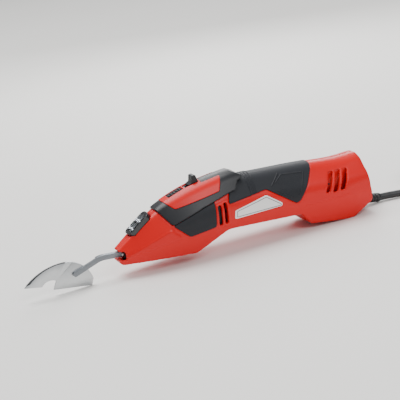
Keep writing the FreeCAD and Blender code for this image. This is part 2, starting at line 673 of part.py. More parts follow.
def rest_shift():
    """How far the tilted tool moves so that the origin is under its middle, on the surface."""
    tilt = math.radians(REST_TILT)
    tip_x = -178.4 * math.cos(tilt) + 0.5 * math.sin(tilt)
    tail = body_form(0).transformed(rest_matrix((0, 0)), True).optimalBoundingBox()
    heel_z = -HEEL[0] * math.sin(tilt) + HEEL[1] * math.cos(tilt)
    return (-(tip_x + tail.XMax) / 2, -heel_z)


def rest_matrix(shift):
    place = FreeCAD.Placement(V(shift[0], 0, shift[1]), FreeCAD.Rotation(V(0, 1, 0), REST_TILT))
    return place.toMatrix()


SHIFT = rest_shift()
SLEEVE_DROOP = 9.0        # degrees below the horizontal
SLEEVE_IN = 158.0         # where the sleeve starts inside the tail
SLEEVE_LENGTH = 36.0
SLEEVE_START = to_rest((SLEEVE_IN, 0, SLEEVE_Z))
SLEEVE_ALONG = V(math.cos(math.radians(SLEEVE_DROOP)), 0, -math.sin(math.radians(SLEEVE_DROOP)))
LEAD_POINTS = [(211.0, -2.4, 4.4), (226.5, -7.6, 3.9), (242.5, -13.8, 4.0), (259.5, -19.4, 4.4),
               (277.5, -22.8, 4.8), (295.0, -23.0, 4.8)]
TAIL_POINTS = [(282.5, -8.5, 23.6), (290.8, -8.9, 25.9), (300.0, -9.1, 28.3), (309.0, -8.6, 30.1)]


def sleeve_end():
    return SLEEVE_START.add(V(SLEEVE_ALONG).multiply(SLEEVE_LENGTH))


def make_sleeve():
    """Tapered sleeve that guides the lead out of the tail."""
    return Part.makeCone(5.0, 4.3, SLEEVE_LENGTH, SLEEVE_START, SLEEVE_ALONG)


def tube(points, radius, name):
    """Round tube of straight runs and the largest tangent arcs that they allow."""
    points = [V(*p) for p in points]
    edges = []
    radii = []
    at = points[0]
    for before, corner, after in zip(points, points[1:], points[2:]):
        inward = before.sub(corner)
        outward = after.sub(corner)
        shorter = min(inward.Length, outward.Length)
        inward.normalize()
        outward.normalize()
        turn = math.pi - inward.getAngle(outward)
        reach = 0.45 * shorter
        bend = reach / math.tan(turn / 2)
        start = corner.add(V(inward).multiply(reach))
        end = corner.add(V(outward).multiply(reach))
        bisector = inward.add(outward).normalize()
        depth = bend / math.cos(turn / 2) - bend
        middle = corner.add(bisector.multiply(depth))
        edges.append(Part.LineSegment(at, start).toShape())
        edges.append(Part.Arc(start, middle, end).toShape())
        radii.append(round(bend, 1))
        at = end
    edges.append(Part.LineSegment(at, points[-1]).toShape())
    path = Part.Wire(edges)
    heading = points[1].sub(points[0])
    section = Part.Wire(Part.makeCircle(radius, points[0], heading))
    solid = path.makePipeShell([section], True, False)
    expected = math.pi * radius ** 2 * path.Length
    print(name, "arc radii", radii, "length", round(path.Length, 1))
    print(name, "volume over section times length", round(solid.Volume / expected, 4))
    return solid


def stadium(radius):
    """Solid with the hank's outline at a fold radius."""
    x, y = HANK_CENTRE
    low = x - HANK_REACH
    high = x + HANK_REACH
    ends = [Part.makeCylinder(radius, HANK_HEIGHT, V(end, y, 0)) for end in (low, high)]
    return fuse(ends + [box(low, high, y - radius, y + radius, 0, HANK_HEIGHT)])


def make_cord():
    """Lead to the hank, the hank as one oval ring, and the tail over it to the plug."""
    lead = tube([tuple(sleeve_end())] + LEAD_POINTS, CORD_D / 2, "lead")
    half = HANK_PITCH / 2
    hank = stadium(HANK_OUTER + half).cut(stadium(HANK_INNER - half))
    tail = tube(TAIL_POINTS, CORD_D / 2, "tail")
    return lead, hank, tail


def make_plug():
    """Flat two-pin plug lying on the hank at the end of the tail."""
    x, y, z = TAIL_POINTS[-1]
    bx, by, _ = TAIL_POINTS[-2]
    heading = math.degrees(math.atan2(y - by, x - bx))
    half = [(0, 5.5), (14, 9.5), (30, PLUG_HALF), (PLUG_LENGTH, PLUG_HALF)]
    outline = [(px, -py) for px, py in half] + half[::-1]
    rounding = [1.5, 8, 6, 3]
    wire = outline_wire(outline, rounding + rounding[::-1], lambda p: V(p[0], p[1], -PLUG_THICK / 2))
    body = Part.Face(wire).extrude(V(0, 0, PLUG_THICK))
    pins = [Part.makeCylinder(PLUG_PIN_R, PLUG_PIN_LENGTH, V(PLUG_LENGTH, side * PLUG_PIN_Y, 0), V(1, 0, 0))
            for side in (-1, 1)]
    place = FreeCAD.Placement(V(x, y, z), FreeCAD.Rotation(V(0, 0, 1), heading))
    body.Placement = place
    pins = Part.makeCompound(pins)
    pins.Placement = place
    return body, pins


# ---- assembly ----
def tool_pieces():
    """Every piece that is drawn on the tool's own axis, by name."""
    left, right = make_housing()
    (pad_left, pad_right), grip = make_pads()
    bezel, lenses, lamp_board = make_lamp()
    knob, link = make_slide()
    bush, pin = make_pivot()
    holder, holder_screw = make_holder()
    blade, grit = make_blade()
    front_inner, front_outer, front_balls = make_bearing(17.5, 24.5, 4.0, 11.0, 7)
    rear_inner, rear_outer, rear_balls = make_bearing(116.5, 122.5, 3.0, 9.5, 7)
    hub, roller = make_eccentric()
    core, windings, commutator = make_armature()
    stator, coils = make_stator()
    tubes, brushes, springs = make_brush_gear()
    clamp, clamp_screws = make_cord_clamp()
    motor_leads, lamp_leads = make_wiring()
    seal = rod_x(7.0, -82.0, -80.2, 0, HOLDER_Z).common(body_form(-WALL))
    seal = seal.cut(rod_x(5.6, -82, -80, 0, HOLDER_Z))
    return {
        "housing_left": left, "housing_right": right, "housing_screws": make_screws(),
        "hood": make_hood(), "hood_insert": make_hood_insert(), "marker_plate": make_marker_plate(),
        "front_pad_left": pad_left, "front_pad_right": pad_right, "grip_pad": grip,
        "name_plates": make_name_plates(), "inner_lead": rod_x(CORD_D / 2, 132.0, SLEEVE_IN, 0, SLEEVE_Z),
        "lamp_bezel": bezel, "lamp_lenses": lenses, "lamp_board": lamp_board, "lamp_leads": lamp_leads,
        "slide_knob": knob, "slide_link": link, "nose_seal": seal,
        "rocker_arm": make_rocker(), "pivot_bush": bush, "pivot_pin": pin,
        "tool_holder": holder, "holder_screw": holder_screw,
        "shank": make_shank(), "blade": blade, "blade_grit": grit,
        "bearing_bridge": make_bearing_bridge(), "air_baffle": make_air_baffle(),
        "front_bearing_inner": front_inner, "front_bearing_outer": front_outer,
        "front_bearing_balls": front_balls, "rear_bearing_inner": rear_inner,
        "rear_bearing_outer": rear_outer, "rear_bearing_balls": rear_balls,
        "rear_bearing_seat": make_rear_seat(), "motor_shaft": make_shaft(),
        "eccentric_hub": hub, "eccentric_roller": roller, "fan": make_fan(),
        "armature_core": core, "armature_windings": windings, "commutator": commutator,
        "stator_core": stator, "field_coils": coils, "brush_holders": tubes,
        "carbon_brushes": brushes, "brush_springs": springs,
        "power_switch": make_power_switch(), "control_board": make_control_board(),
        "suppressor": make_suppressor(), "terminal_block": make_terminal_block(),
        "cord_clamp": clamp, "clamp_screws": clamp_screws, "motor_leads": motor_leads,
    }


def surface_pieces():
    """The mains lead and its plug, which lie on the surface beside the tool."""
    lead, hank, tail = make_cord()
    plug, pins = make_plug()
    return {"cord_sleeve": make_sleeve(), "mains_lead": lead, "lead_hank": hank, "lead_tail": tail,
            "plug_body": plug, "plug_pins": pins}


def main():
    os.makedirs("parts", exist_ok=True)
    matrix = rest_matrix(SHIFT)
    pieces = {name: shape.transformed(matrix, True) for name, shape in tool_pieces().items()}
    pieces.update(surface_pieces())
    for name, shape in pieces.items():
        if not shape.isValid() or shape.Volume <= 0:
            print("BAD SHAPE", name, shape.isValid(), shape.Volume)
        shape.exportStep("parts/%s.step" % name)
    print("shift", SHIFT, "pieces", len(pieces))


main()
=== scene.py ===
"""Looks of an electric grout scraper on a bench: moulded shells, soft grips, bent shank, blade, lead."""
import math
import bpy
import bmesh
from mathutils import Matrix, Vector
from mathutils.bvhtree import BVHTree


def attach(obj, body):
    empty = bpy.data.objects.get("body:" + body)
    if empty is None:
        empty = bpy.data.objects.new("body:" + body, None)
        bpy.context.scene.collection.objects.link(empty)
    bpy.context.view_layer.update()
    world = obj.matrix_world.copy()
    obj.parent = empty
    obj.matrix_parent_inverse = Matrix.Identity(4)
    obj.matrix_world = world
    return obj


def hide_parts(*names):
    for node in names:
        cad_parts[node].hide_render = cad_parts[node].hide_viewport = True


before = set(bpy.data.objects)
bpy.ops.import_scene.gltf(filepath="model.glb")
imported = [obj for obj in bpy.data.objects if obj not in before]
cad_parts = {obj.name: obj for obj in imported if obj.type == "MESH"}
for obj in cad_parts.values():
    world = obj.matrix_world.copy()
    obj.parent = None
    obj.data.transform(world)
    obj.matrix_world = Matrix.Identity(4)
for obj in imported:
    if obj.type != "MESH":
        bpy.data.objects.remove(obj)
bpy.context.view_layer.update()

MM = 0.001
TILT = math.radians(3.936)          # the tool's axis against the bench
SHIFT = Vector((2.0636, 0, 1.8107)) * MM
LEAD_D = 7.0 * MM
SLEEVE_DROOP = math.radians(9.0)
SLEEVE_LENGTH = 36.0 * MM
HANK_CENTRE = Vector((309.0, 13.4, 0)) * MM
HANK_REACH = 25.0                   # from the hank's middle to the centre of each fold
SIDES = (-1, 1)                     # the tool's left and right
CAMERA_TURNS = (-22.0, 15.0, 5.4)   # azimuth, elevation and roll, in degrees
CAMERA_AIM = Vector((0, 0, 50))     # on the tool's own axis, in mm
CAMERA_AWAY = 1226.4


def at_rest(x, y, z):
    """A point given along the tool's own axis, in mm, as it lies on the bench, in metres."""
    return Matrix.Rotation(TILT, 3, "Y") @ (Vector((x, y, z)) * MM) + SHIFT


# ---- camera ----
def make_camera():
    """Stands at the tool's left, a little above it, and turned so that the tool climbs to the right."""
    azimuth, elevation, roll = (math.radians(angle) for angle in CAMERA_TURNS)
    back = Vector((math.sin(azimuth) * math.cos(elevation), -math.cos(azimuth) * math.cos(elevation),
                   math.sin(elevation)))
    right = Vector((math.cos(azimuth), math.sin(azimuth), 0))
    up = back.cross(right)
    turned_right = math.cos(roll) * right - math.sin(roll) * up
    turned_up = math.sin(roll) * right + math.cos(roll) * up
    tilt = Matrix.Rotation(TILT, 3, "Y")
    place = Matrix((tilt @ turned_right, tilt @ turned_up, tilt @ back)).transposed().to_4x4()
    place.translation = at_rest(*(back * CAMERA_AWAY + CAMERA_AIM))
    data = bpy.data.cameras.new("camera")
    data.lens = 117.0
    data.sensor_width = 36.0
    data.clip_start = 0.05
    camera = bpy.data.objects.new("camera", data)
    camera.matrix_world = place
    bpy.context.scene.collection.objects.link(camera)
    bpy.context.scene.camera = camera


# ---- materials ----
def colour(hex_value):
    """A colour written as sRGB hex, turned to linear RGBA."""
    channels = [int(hex_value[i:i + 2], 16) / 255 for i in (1, 3, 5)]
    return [c / 12.92 if c <= 0.04045 else ((c + 0.055) / 1.055) ** 2.4 for c in channels] + [1.0]


def add(tree, kind, props=None, inputs=None):
    """One shader or geometry node with its settings; an input is a value or another node's socket."""
    node = tree.nodes.new(kind)
    for name, value in (props or {}).items():
        setattr(node, name, value)
    for name, value in (inputs or {}).items():
        if isinstance(value, bpy.types.NodeSocket):
            tree.links.new(value, node.inputs[name])
        else:
            node.inputs[name].default_value = value
    return node


def new_material(name, **surface):
    """A material whose shader has these fixed values; returns it with its tree and shader."""
    material = bpy.data.materials.new(name)
    material.use_nodes = True
    tree = material.node_tree
    shader = tree.nodes["Principled BSDF"]
    for key, value in surface.items():
        shader.inputs[key.replace("_", " ")].default_value = value
    return material, tree, shader


def mottled(tree, shader, low, high, size_mm, vector):
    """Base colour that drifts between two shades over a distance, as moulded or handled stock does."""
    noise = add(tree, "ShaderNodeTexNoise", None,
                {"Vector": vector, "Scale": 1 / (size_mm * MM), "Detail": 4.0})
    blend = add(tree, "ShaderNodeMix", {"data_type": "RGBA"},
                {"Factor": noise.outputs["Fac"], "A": colour(low), "B": colour(high)})
    tree.links.new(blend.outputs["Result"], shader.inputs["Base Color"])


def grained(tree, shader, size_mm, depth_mm, vector, rough_low, rough_high):
    """Fine moulded or cast grain: bump, and roughness that follows it."""
    noise = add(tree, "ShaderNodeTexNoise", None,
                {"Vector": vector, "Scale": 1 / (size_mm * MM), "Detail": 3.0})
    bump = add(tree, "ShaderNodeBump", None,
               {"Height": noise.outputs["Fac"], "Distance": depth_mm * MM, "Strength": 1.0})
    rough = add(tree, "ShaderNodeMapRange", None,
                {"Value": noise.outputs["Fac"], "To Min": rough_low, "To Max": rough_high})
    tree.links.new(bump.outputs["Normal"], shader.inputs["Normal"])
    tree.links.new(rough.outputs["Result"], shader.inputs["Roughness"])


def place_of(tree):
    """Places on the piece in its own coordinates, in metres."""
    return add(tree, "ShaderNodeTexCoord").outputs["Object"]


def red_abs():
    """Moulded ABS, satin: soft highlights with a faint orange-peel."""
    material, tree, shader = new_material("red_moulded_abs", IOR=1.54, Specular_IOR_Level=0.3)
    where = place_of(tree)
    mottled(tree, shader, "#CA0000", "#D60001", 45.0, where)
    # real grain is under 0.2 mm; drawn at 0.9 mm so that it breaks up the highlight
    grained(tree, shader, 0.9, 0.012, where, 0.3, 0.4)
    return material


def black_abs():
    """Moulded ABS in charcoal, with a slightly rougher spark finish than the red."""
    material, tree, shader = new_material("charcoal_moulded_abs", IOR=1.54, Specular_IOR_Level=0.35)
    where = place_of(tree)
    mottled(tree, shader, "#121317", "#181A1F", 30.0, where)
    grained(tree, shader, 0.8, 0.014, where, 0.34, 0.44)
    return material


def soft_grip():
    """Overmoulded TPE: dull, fine leathery grain, a little lighter where it is handled."""
    material, tree, shader = new_material("overmoulded_tpe", IOR=1.5, Specular_IOR_Level=0.35)
    where = place_of(tree)
    mottled(tree, shader, "#15171C", "#1D2026", 18.0, where)
    grained(tree, shader, 0.9, 0.035, where, 0.5, 0.64)
    return material


def glossy_pc():
    """Polished black polycarbonate round the lamp."""
    material, tree, shader = new_material("black_polished_pc", IOR=1.585)
    where = place_of(tree)
    mottled(tree, shader, "#141518", "#1B1C20", 20.0, where)
    grained(tree, shader, 1.2, 0.004, where, 0.12, 0.18)
    return material


def clear_pc():
    """Clear moulded polycarbonate lens with faint flow lines."""
    material, tree, shader = new_material("clear_moulded_pc", IOR=1.585, Transmission_Weight=1.0)
    shader.inputs["Base Color"].default_value = colour("#F4F7FA")
    grained(tree, shader, 3.0, 0.01, place_of(tree), 0.04, 0.09)
    return material


def printed_foil():
    """White polyester foil: flat and half gloss."""
    material, tree, shader = new_material("printed_polyester_foil", IOR=1.6)
    where = place_of(tree)
    mottled(tree, shader, "#E9E9E7", "#F2F2F0", 25.0, where)
    grained(tree, shader, 0.7, 0.003, where, 0.28, 0.36)
    return material


def ground_steel():
    """Hardened spring steel, ground along the blade: fine straight lines and a long soft highlight."""
    material, tree, shader = new_material("ground_spring_steel", Metallic=1.0)
    where = place_of(tree)
    # grinding lines run along the blade; real ones are 0.05 mm apart, drawn 0.35 mm apart
    stretched = add(tree, "ShaderNodeMapping", None, {"Vector": where, "Scale": (30.0, 400.0, 2800.0)})
    lines = add(tree, "ShaderNodeTexNoise", None,
                {"Vector": stretched.outputs["Vector"], "Scale": 1.0, "Detail": 3.0, "Roughness": 0.6})
    cloud = add(tree, "ShaderNodeTexNoise", None, {"Vector": where, "Scale": 1 / (14 * MM), "Detail": 3.0})
    mix = add(tree, "ShaderNodeMix", {"data_type": "RGBA"},
              {"Factor": cloud.outputs["Fac"], "A": colour("#B9BCBF"), "B": colour("#D6D8D9")})
    rough = add(tree, "ShaderNodeMapRange", None,
                {"Value": lines.outputs["Fac"], "To Min": 0.24, "To Max": 0.46})
    bump = add(tree, "ShaderNodeBump", None, {"Height": lines.outputs["Fac"], "Distance": 0.02 * MM})
    tree.links.new(mix.outputs["Result"], shader.inputs["Base Color"])
    tree.links.new(rough.outputs["Result"], shader.inputs["Roughness"])
    tree.links.new(bump.outputs["Normal"], shader.inputs["Normal"])
    return material


def zinc_steel():
    """Drawn steel bar with a dull zinc coat, grey and slightly cloudy."""
    material, tree, shader = new_material("zinc_coated_bar", Metallic=1.0)
    where = place_of(tree)
    mottled(tree, shader, "#6E7277", "#8C9095", 5.0, where)
    grained(tree, shader, 0.7, 0.02, where, 0.34, 0.5)
    return material


def carbide_grit():
    """Tungsten-carbide grains brazed on: dark, sparkling, sharp-edged lumps about 0.5 mm across, with painted
    shade darkening each lump towards the hollows round it.
    """
    material, tree, shader = new_material("brazed_carbide_grit", Metallic=0.7)
    where = place_of(tree)
    cells = add(tree, "ShaderNodeTexVoronoi", None, {"Vector": where, "Scale": 1 / (0.8 * MM)})
    # painted shade: the colour goes from lighter grain tops to darker grain edges, following the same
    # distance that sinks the bump into the hollows
    shade = add(tree, "ShaderNodeMix", {"data_type": "RGBA"},
                {"Factor": cells.outputs["Distance"], "A": colour("#55575A"), "B": colour("#2B2C2E")})
    bump = add(tree, "ShaderNodeBump", {"invert": True},
               {"Height": cells.outputs["Distance"], "Distance": 0.3 * MM})
    tree.links.new(shade.outputs["Result"], shader.inputs["Base Color"])
    tree.links.new(bump.outputs["Normal"], shader.inputs["Normal"])
    shader.inputs["Roughness"].default_value = 0.45
    return material


def plain_metal(name, low, high, size_mm, rough_low, rough_high):
    """Turned, cast or drawn metal that differs only in colour, cloud size and roughness."""
    material, tree, shader = new_material(name, Metallic=1.0)
    where = place_of(tree)
    mottled(tree, shader, low, high, size_mm, where)
    grained(tree, shader, 0.6, 0.01, where, rough_low, rough_high)
    return material


def laminations():
    """Stacked electrical sheet: dark edges of half-millimetre plates across the motor."""
    material, tree, shader = new_material("stacked_electrical_sheet", Metallic=0.8)
    where = place_of(tree)
    turned = add(tree, "ShaderNodeMapping", None, {"Vector": where, "Rotation": (0, -TILT, 0)})
    bands = add(tree, "ShaderNodeTexWave", {"bands_direction": "X"},
                {"Vector": turned.outputs["Vector"], "Scale": 0.05 / MM, "Distortion": 0.3})
    shade = add(tree, "ShaderNodeMix", {"data_type": "RGBA"},
                {"Factor": bands.outputs["Fac"], "A": colour("#3B3B3D"), "B": colour("#6A6A6C")})
    bump = add(tree, "ShaderNodeBump", None, {"Height": bands.outputs["Fac"], "Distance": 0.1 * MM})
    tree.links.new(shade.outputs["Result"], shader.inputs["Base Color"])
    tree.links.new(bump.outputs["Normal"], shader.inputs["Normal"])
    shader.inputs["Roughness"].default_value = 0.5
    return material


def matt_plastic(name, low, high, rough_low=0.45, rough_high=0.6):
    """Plain moulded plastic of the inner parts."""
    material, tree, shader = new_material(name, IOR=1.5)
    where = place_of(tree)
    mottled(tree, shader, low, high, 8.0, where)
    grained(tree, shader, 0.8, 0.02, where, rough_low, rough_high)
    return material


def lead_pvc():
    """Extruded PVC sheath: black, half gloss, slight waviness along its length."""
    material, tree, shader = new_material("extruded_pvc_sheath", IOR=1.53)
    where = place_of(tree)
    mottled(tree, shader, "#121315", "#1A1B1E", 12.0, where)
    grained(tree, shader, 1.6, 0.03, where, 0.36, 0.48)
    return material


# ---- shaping helpers ----
def link(name, mesh, body, material, *replaced):
    """A finished mesh as a piece that rides on a body and stands for CAD nodes."""
    piece = bpy.data.objects.new(name, mesh)
    bpy.context.scene.collection.objects.link(piece)
    mesh.materials.clear()
    mesh.materials.append(material)
    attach(piece, body)
    if replaced:
        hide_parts(*replaced)
    return piece


def merged_copy(node):
    """A CAD node's mesh with its loose triangles joined up."""
    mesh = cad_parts[node].data.copy()
    if "custom_normal" in mesh.attributes:
        mesh.attributes.remove(mesh.attributes["custom_normal"])
    shell = bmesh.new()
    shell.from_mesh(mesh)
    bmesh.ops.remove_doubles(shell, verts=shell.verts, dist=0.002 * MM)
    shell.to_mesh(mesh)
    shell.free()
    mesh.update()
    return mesh


def baked(mesh, modifiers):
    """A mesh after a list of (kind, settings) modifiers."""
    holder = bpy.data.objects.new("holder", mesh)
    bpy.context.scene.collection.objects.link(holder)
    for kind, settings in modifiers:
        modifier = holder.modifiers.new(kind.lower(), kind)
        for name, value in settings.items():
            setattr(modifier, name, value)
    return flattened(holder)


def flattened(holder):
    """A plain mesh of an object as it is evaluated; the object goes."""
    evaluated = holder.evaluated_get(bpy.context.evaluated_depsgraph_get())
    mesh = bpy.data.meshes.new_from_object(evaluated)
    bpy.data.objects.remove(holder)
    return mesh


def moulded(node, body, material, voxel_mm, passes):
    """The node as it leaves a mould: every edge and corner softened by a fraction of a millimetre."""
    mesh = baked(merged_copy(node), [
        ("REMESH", {"mode": "VOXEL", "voxel_size": voxel_mm * MM, "use_smooth_shade": True}),
        ("SMOOTH", {"factor": 0.5, "iterations": passes})])
    return link(node + "_moulded", mesh, body, material, node)


def machined(node, body, material, width_mm, segments=2, angle=28):
    """The node with its edges broken by a small even chamfer."""
    mesh = baked(merged_copy(node), [
        ("BEVEL", {"width": width_mm * MM, "segments": segments, "limit_method": "ANGLE",
                   "angle_limit": math.radians(angle), "harden_normals": False})])
    mesh.shade_smooth()
    mesh.set_sharp_from_angle(angle=math.radians(40))
    return link(node + "_machined", mesh, body, material, node)


# ---- lead, sleeve and plug ----
SLEEVE_START = at_rest(158.0, 0, 19.3)
SLEEVE_ALONG = Vector((math.cos(SLEEVE_DROOP), 0, -math.sin(SLEEVE_DROOP)))
LEAD_EXIT = SLEEVE_START + SLEEVE_ALONG * SLEEVE_LENGTH
LEAD_POINTS = [(211.0, -2.4, 4.4), (226.5, -7.6, 3.9), (242.5, -13.8, 4.0), (259.5, -19.4, 4.4),
               (277.5, -22.8, 4.8), (295.0, -23.0, 4.8)]
TAIL_POINTS = [(282.5, -8.5, 23.6), (290.8, -8.9, 25.9), (300.0, -9.1, 28.3), (309.0, -8.6, 30.1)]
# turns so far, fold radius and height: inwards, up, outwards, up, inwards, and up on to the top
HANK_LAYERS = [(0.0, 36.4, 4.8), (2.0, 22.0, 4.8), (2.35, 22.0, 12.0), (4.35, 36.4, 12.0),
               (4.7, 36.4, 19.2), (6.7, 22.0, 19.2), (6.89, 22.0, 23.6)]
HANK_STEPS = 248
POINTS_A_TURN = 36


def hank_point(turn):
    """Centre of the lead after a number of turns, counted from the middle of the near side."""
    for (turn_a, radius_a, height_a), (turn_b, radius_b, height_b) in zip(HANK_LAYERS, HANK_LAYERS[1:]):
        if turn <= turn_b:
            share = (turn - turn_a) / (turn_b - turn_a)
            radius = radius_a + share * (radius_b - radius_a)
            height = height_a + share * (height_b - height_a)
            break
    side = 1 if turn % 1.0 < 0.5 else -1
    fold = math.pi * radius
    along = (turn % 0.5) * 2 * (fold + 2 * HANK_REACH)
    if along < HANK_REACH:
        x, y = along, -radius
    elif along < HANK_REACH + fold:
        angle = (along - HANK_REACH) / radius - math.pi / 2
        x, y = HANK_REACH + radius * math.cos(angle), radius * math.sin(angle)
    else:
        x, y = 2 * HANK_REACH + fold - along, radius
    return HANK_CENTRE + Vector((side * x, side * y, height)) * MM


def lead_route():
    """Out along the bench, round the hank, and over its top to the plug."""
    route = [LEAD_EXIT]
    route += [Vector(point) * MM for point in LEAD_POINTS]
    route += [hank_point(i / POINTS_A_TURN) for i in range(HANK_STEPS)]
    route += [Vector(point) * MM for point in TAIL_POINTS]
    return route


def make_lead(sheath):
    """The lead as one smooth round curve."""
    points = lead_route()
    data = bpy.data.curves.new("mains_lead_curve", "CURVE")
    data.dimensions = "3D"
    data.bevel_depth = LEAD_D / 2
    data.bevel_resolution = 5
    data.resolution_u = 8
    spline = data.splines.new("NURBS")
    spline.points.add(len(points) - 1)
    for knot, point in zip(spline.points, points):
        knot.co = (*point, 1.0)
    spline.order_u = 3
    spline.use_endpoint_u = True
    data.materials.append(sheath)
    lead = bpy.data.objects.new("mains_lead_run", data)
    bpy.context.scene.collection.objects.link(lead)
    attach(lead, "root")
    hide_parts("mains_lead", "lead_hank", "lead_tail")
    return lead


def revolved(profile, start, along, steps=48):
    """Closed mesh of (distance, radius) pairs turned about an axis; the ends have radius 0."""
    shell = bmesh.new()
    side = along.orthogonal().normalized()
    other = along.cross(side)
    rings = []
    for distance, radius in profile:
        centre = start + along * distance
        if radius <= 0:
            rings.append([shell.verts.new(centre)])
            continue
        angles = [2 * math.pi * i / steps for i in range(steps)]
        spokes = [side * math.cos(angle) + other * math.sin(angle) for angle in angles]
        rings.append([shell.verts.new(centre + spoke * radius) for spoke in spokes])
    for low, high in zip(rings, rings[1:]):
        for i in range(steps):
            j = (i + 1) % steps
            corners = [low[i % len(low)], low[j % len(low)], high[j % len(high)], high[i % len(high)]]
            shell.faces.new(list(dict.fromkeys(corners)))
    bmesh.ops.recalc_face_normals(shell, faces=shell.faces)
    mesh = bpy.data.meshes.new("revolved")
    shell.to_mesh(mesh)
    shell.free()
    mesh.shade_smooth()
    return mesh


SLEEVE_RINGS = 7
RING_FIRST, RING_PITCH, RING_TAPER = 10.5, 3.3, 0.07
GROOVE_DEPTH, GROOVE_EDGE, GROOVE_END = 0.75, 0.25, 1.0


def make_sleeve(rubber):
    """Tapered strain relief: a smooth root, then grooved rings turned all the way round."""
    profile = [(0, 0), (0, 4.7), (0.4, 5.0), (9.0, 5.0)]
    for i in range(SLEEVE_RINGS):
        at = RING_FIRST + i * RING_PITCH
        radius = 5.0 - i * RING_TAPER
        floor = radius - GROOVE_DEPTH
        profile += [(at, radius), (at + GROOVE_EDGE, floor), (at + GROOVE_END, floor),
                    (at + GROOVE_END + GROOVE_EDGE, radius)]
    profile += [(34.6, 4.35), (35.6, 4.1), (36.0, 3.7), (36.0, 0)]
    mesh = revolved([(a * MM, r * MM) for a, r in profile], SLEEVE_START, SLEEVE_ALONG)
    return link("strain_relief", mesh, "root", rubber, "cord_sleeve")


PIN_ROOT = 39.5                     # from the lead's end to the roots of the pins
PIN_Y = 9.3
PIN_SLEEVE = [(0, 0), (0, 2.3), (9.6, 2.3), (10.2, 2.05), (10.2, 0)]


def make_pin_sleeves(plastic):
    """Insulating sleeves on the roots of both plug pins."""
    end, before = (Vector(point) for point in (TAIL_POINTS[-1], TAIL_POINTS[-2]))
    ahead = Vector((end.x - before.x, end.y - before.y, 0)).normalized()
    across = Vector((-ahead.y, ahead.x, 0))
    whole = bmesh.new()
    for side in SIDES:
        root = (end + ahead * PIN_ROOT + across * side * PIN_Y) * MM
        one = revolved([(along * MM, radius * MM) for along, radius in PIN_SLEEVE], root, ahead, 24)
        whole.from_mesh(one)
    mesh = bpy.data.meshes.new("pin_sleeves")
    whole.to_mesh(mesh)
    whole.free()
    mesh.shade_smooth()
    mesh.set_sharp_from_angle(angle=math.radians(40))
    return link("pin_sleeves", mesh, "root", plastic)


# ---- fine detail laid on the moulded parts ----
SEARCH_FROM = 60.0                  # clear of every surface of the tool
GRIP_AXIS_Z = 45.3


def tool_tree(piece):
    """Search tree of a finished piece."""
    places = [vertex.co[:] for vertex in piece.data.vertices]
    return BVHTree.FromPolygons(places, [polygon.vertices[:] for polygon in piece.data.polygons])


def from_side(tree, x, z, side):
    """Where a line in from one side, at a place in the side view, meets the surface; and the normal there."""
    start = at_rest(x, side * SEARCH_FROM, z)
    hit, normal, _, _ = tree.ray_cast(start, Vector((0, -side, 0)))
    return (hit, normal) if hit else None


def from_round(tree, x, degrees):
    """The same, looking in towards the tool's axis at an angle from straight up."""
    angle = math.radians(degrees)
    start = at_rest(x, SEARCH_FROM * math.sin(angle), GRIP_AXIS_Z + SEARCH_FROM * math.cos(angle))
    hit, normal, _, _ = tree.ray_cast(start, (at_rest(x, 0, GRIP_AXIS_Z) - start).normalized())
    return (hit, normal) if hit else None


def stepped(corners, step_mm=1.5):
    """Points along straight lines between corners of the side view, evenly spaced."""
    points = []
    for (x0, z0), (x1, z1) in zip(corners, corners[1:]):
        count = max(1, round(math.hypot(x1 - x0, z1 - z0) / step_mm))
        points += [(x0 + (x1 - x0) * i / count, z0 + (z1 - z0) * i / count) for i in range(count)]
    return points + [corners[-1]]


def found_along(tree, corners, side):
    """What the surface gives under straight lines of the side view; places that miss it are left out."""
    found = [from_side(tree, x, z, side) for x, z in stepped(corners)]
    return [hit for hit in found if hit]


def beads(name, lines, radius_mm, sunk_mm, body, material):
    """Raised half-round lines; each line is a list of (place, normal) found on the surface."""
    data = bpy.data.curves.new(name, "CURVE")
    data.dimensions = "3D"
    data.bevel_depth = radius_mm * MM
    data.bevel_resolution = 2
    data.use_fill_caps = True
    for line in lines:
        spline = data.splines.new("POLY")
        spline.points.add(len(line) - 1)
        for knot, (place, normal) in zip(spline.points, line):
            knot.co = (*(place - normal * sunk_mm * MM), 1.0)
    holder = bpy.data.objects.new(name, data)
    bpy.context.scene.collection.objects.link(holder)
    mesh = flattened(holder)
    mesh.shade_smooth()
    return link(name, mesh, body, material)


def inside(x, z, outline):
    """Whether a place in the side view lies within an outline."""
    odd = False
    for (x0, z0), (x1, z1) in zip(outline, outline[1:] + outline[:1]):
        if (z0 > z) != (z1 > z) and x < (x1 - x0) * (z - z0) / (z1 - z0) + x0:
            odd = not odd
    return odd


def stud_network(material):
    """Small domes on every point, a little uneven in size."""
    group = bpy.data.node_groups.new("grip_studs", "GeometryNodeTree")
    group.interface.new_socket("Geometry", in_out="INPUT", socket_type="NodeSocketGeometry")
    group.interface.new_socket("Stud radius", in_out="INPUT", socket_type="NodeSocketFloat")
    group.interface.new_socket("Seed", in_out="INPUT", socket_type="NodeSocketInt")
    group.interface.new_socket("Geometry", in_out="OUTPUT", socket_type="NodeSocketGeometry")
    given = group.nodes.new("NodeGroupInput")
    dome = add(group, "GeometryNodeMeshIcoSphere", None,
               {"Radius": given.outputs["Stud radius"], "Subdivisions": 2})
    # inputs 2 and 3 and output 1 are the node's plain-number ones, which share their names with others
    uneven = add(group, "FunctionNodeRandomValue", None, {2: 0.9, 3: 1.1, "Seed": given.outputs["Seed"]})
    spread = add(group, "GeometryNodeInstanceOnPoints", None,
                 {"Points": given.outputs["Geometry"], "Instance": dome.outputs["Mesh"],
                  "Scale": uneven.outputs[1]})
    real = add(group, "GeometryNodeRealizeInstances", None, {"Geometry": spread.outputs["Instances"]})
    coated = add(group, "GeometryNodeSetMaterial", None,
                 {"Geometry": real.outputs["Geometry"], "Material": material})
    result = group.nodes.new("NodeGroupOutput")
    group.links.new(coated.outputs["Geometry"], result.inputs["Geometry"])
    return group


STUD_SUNK = 0.15


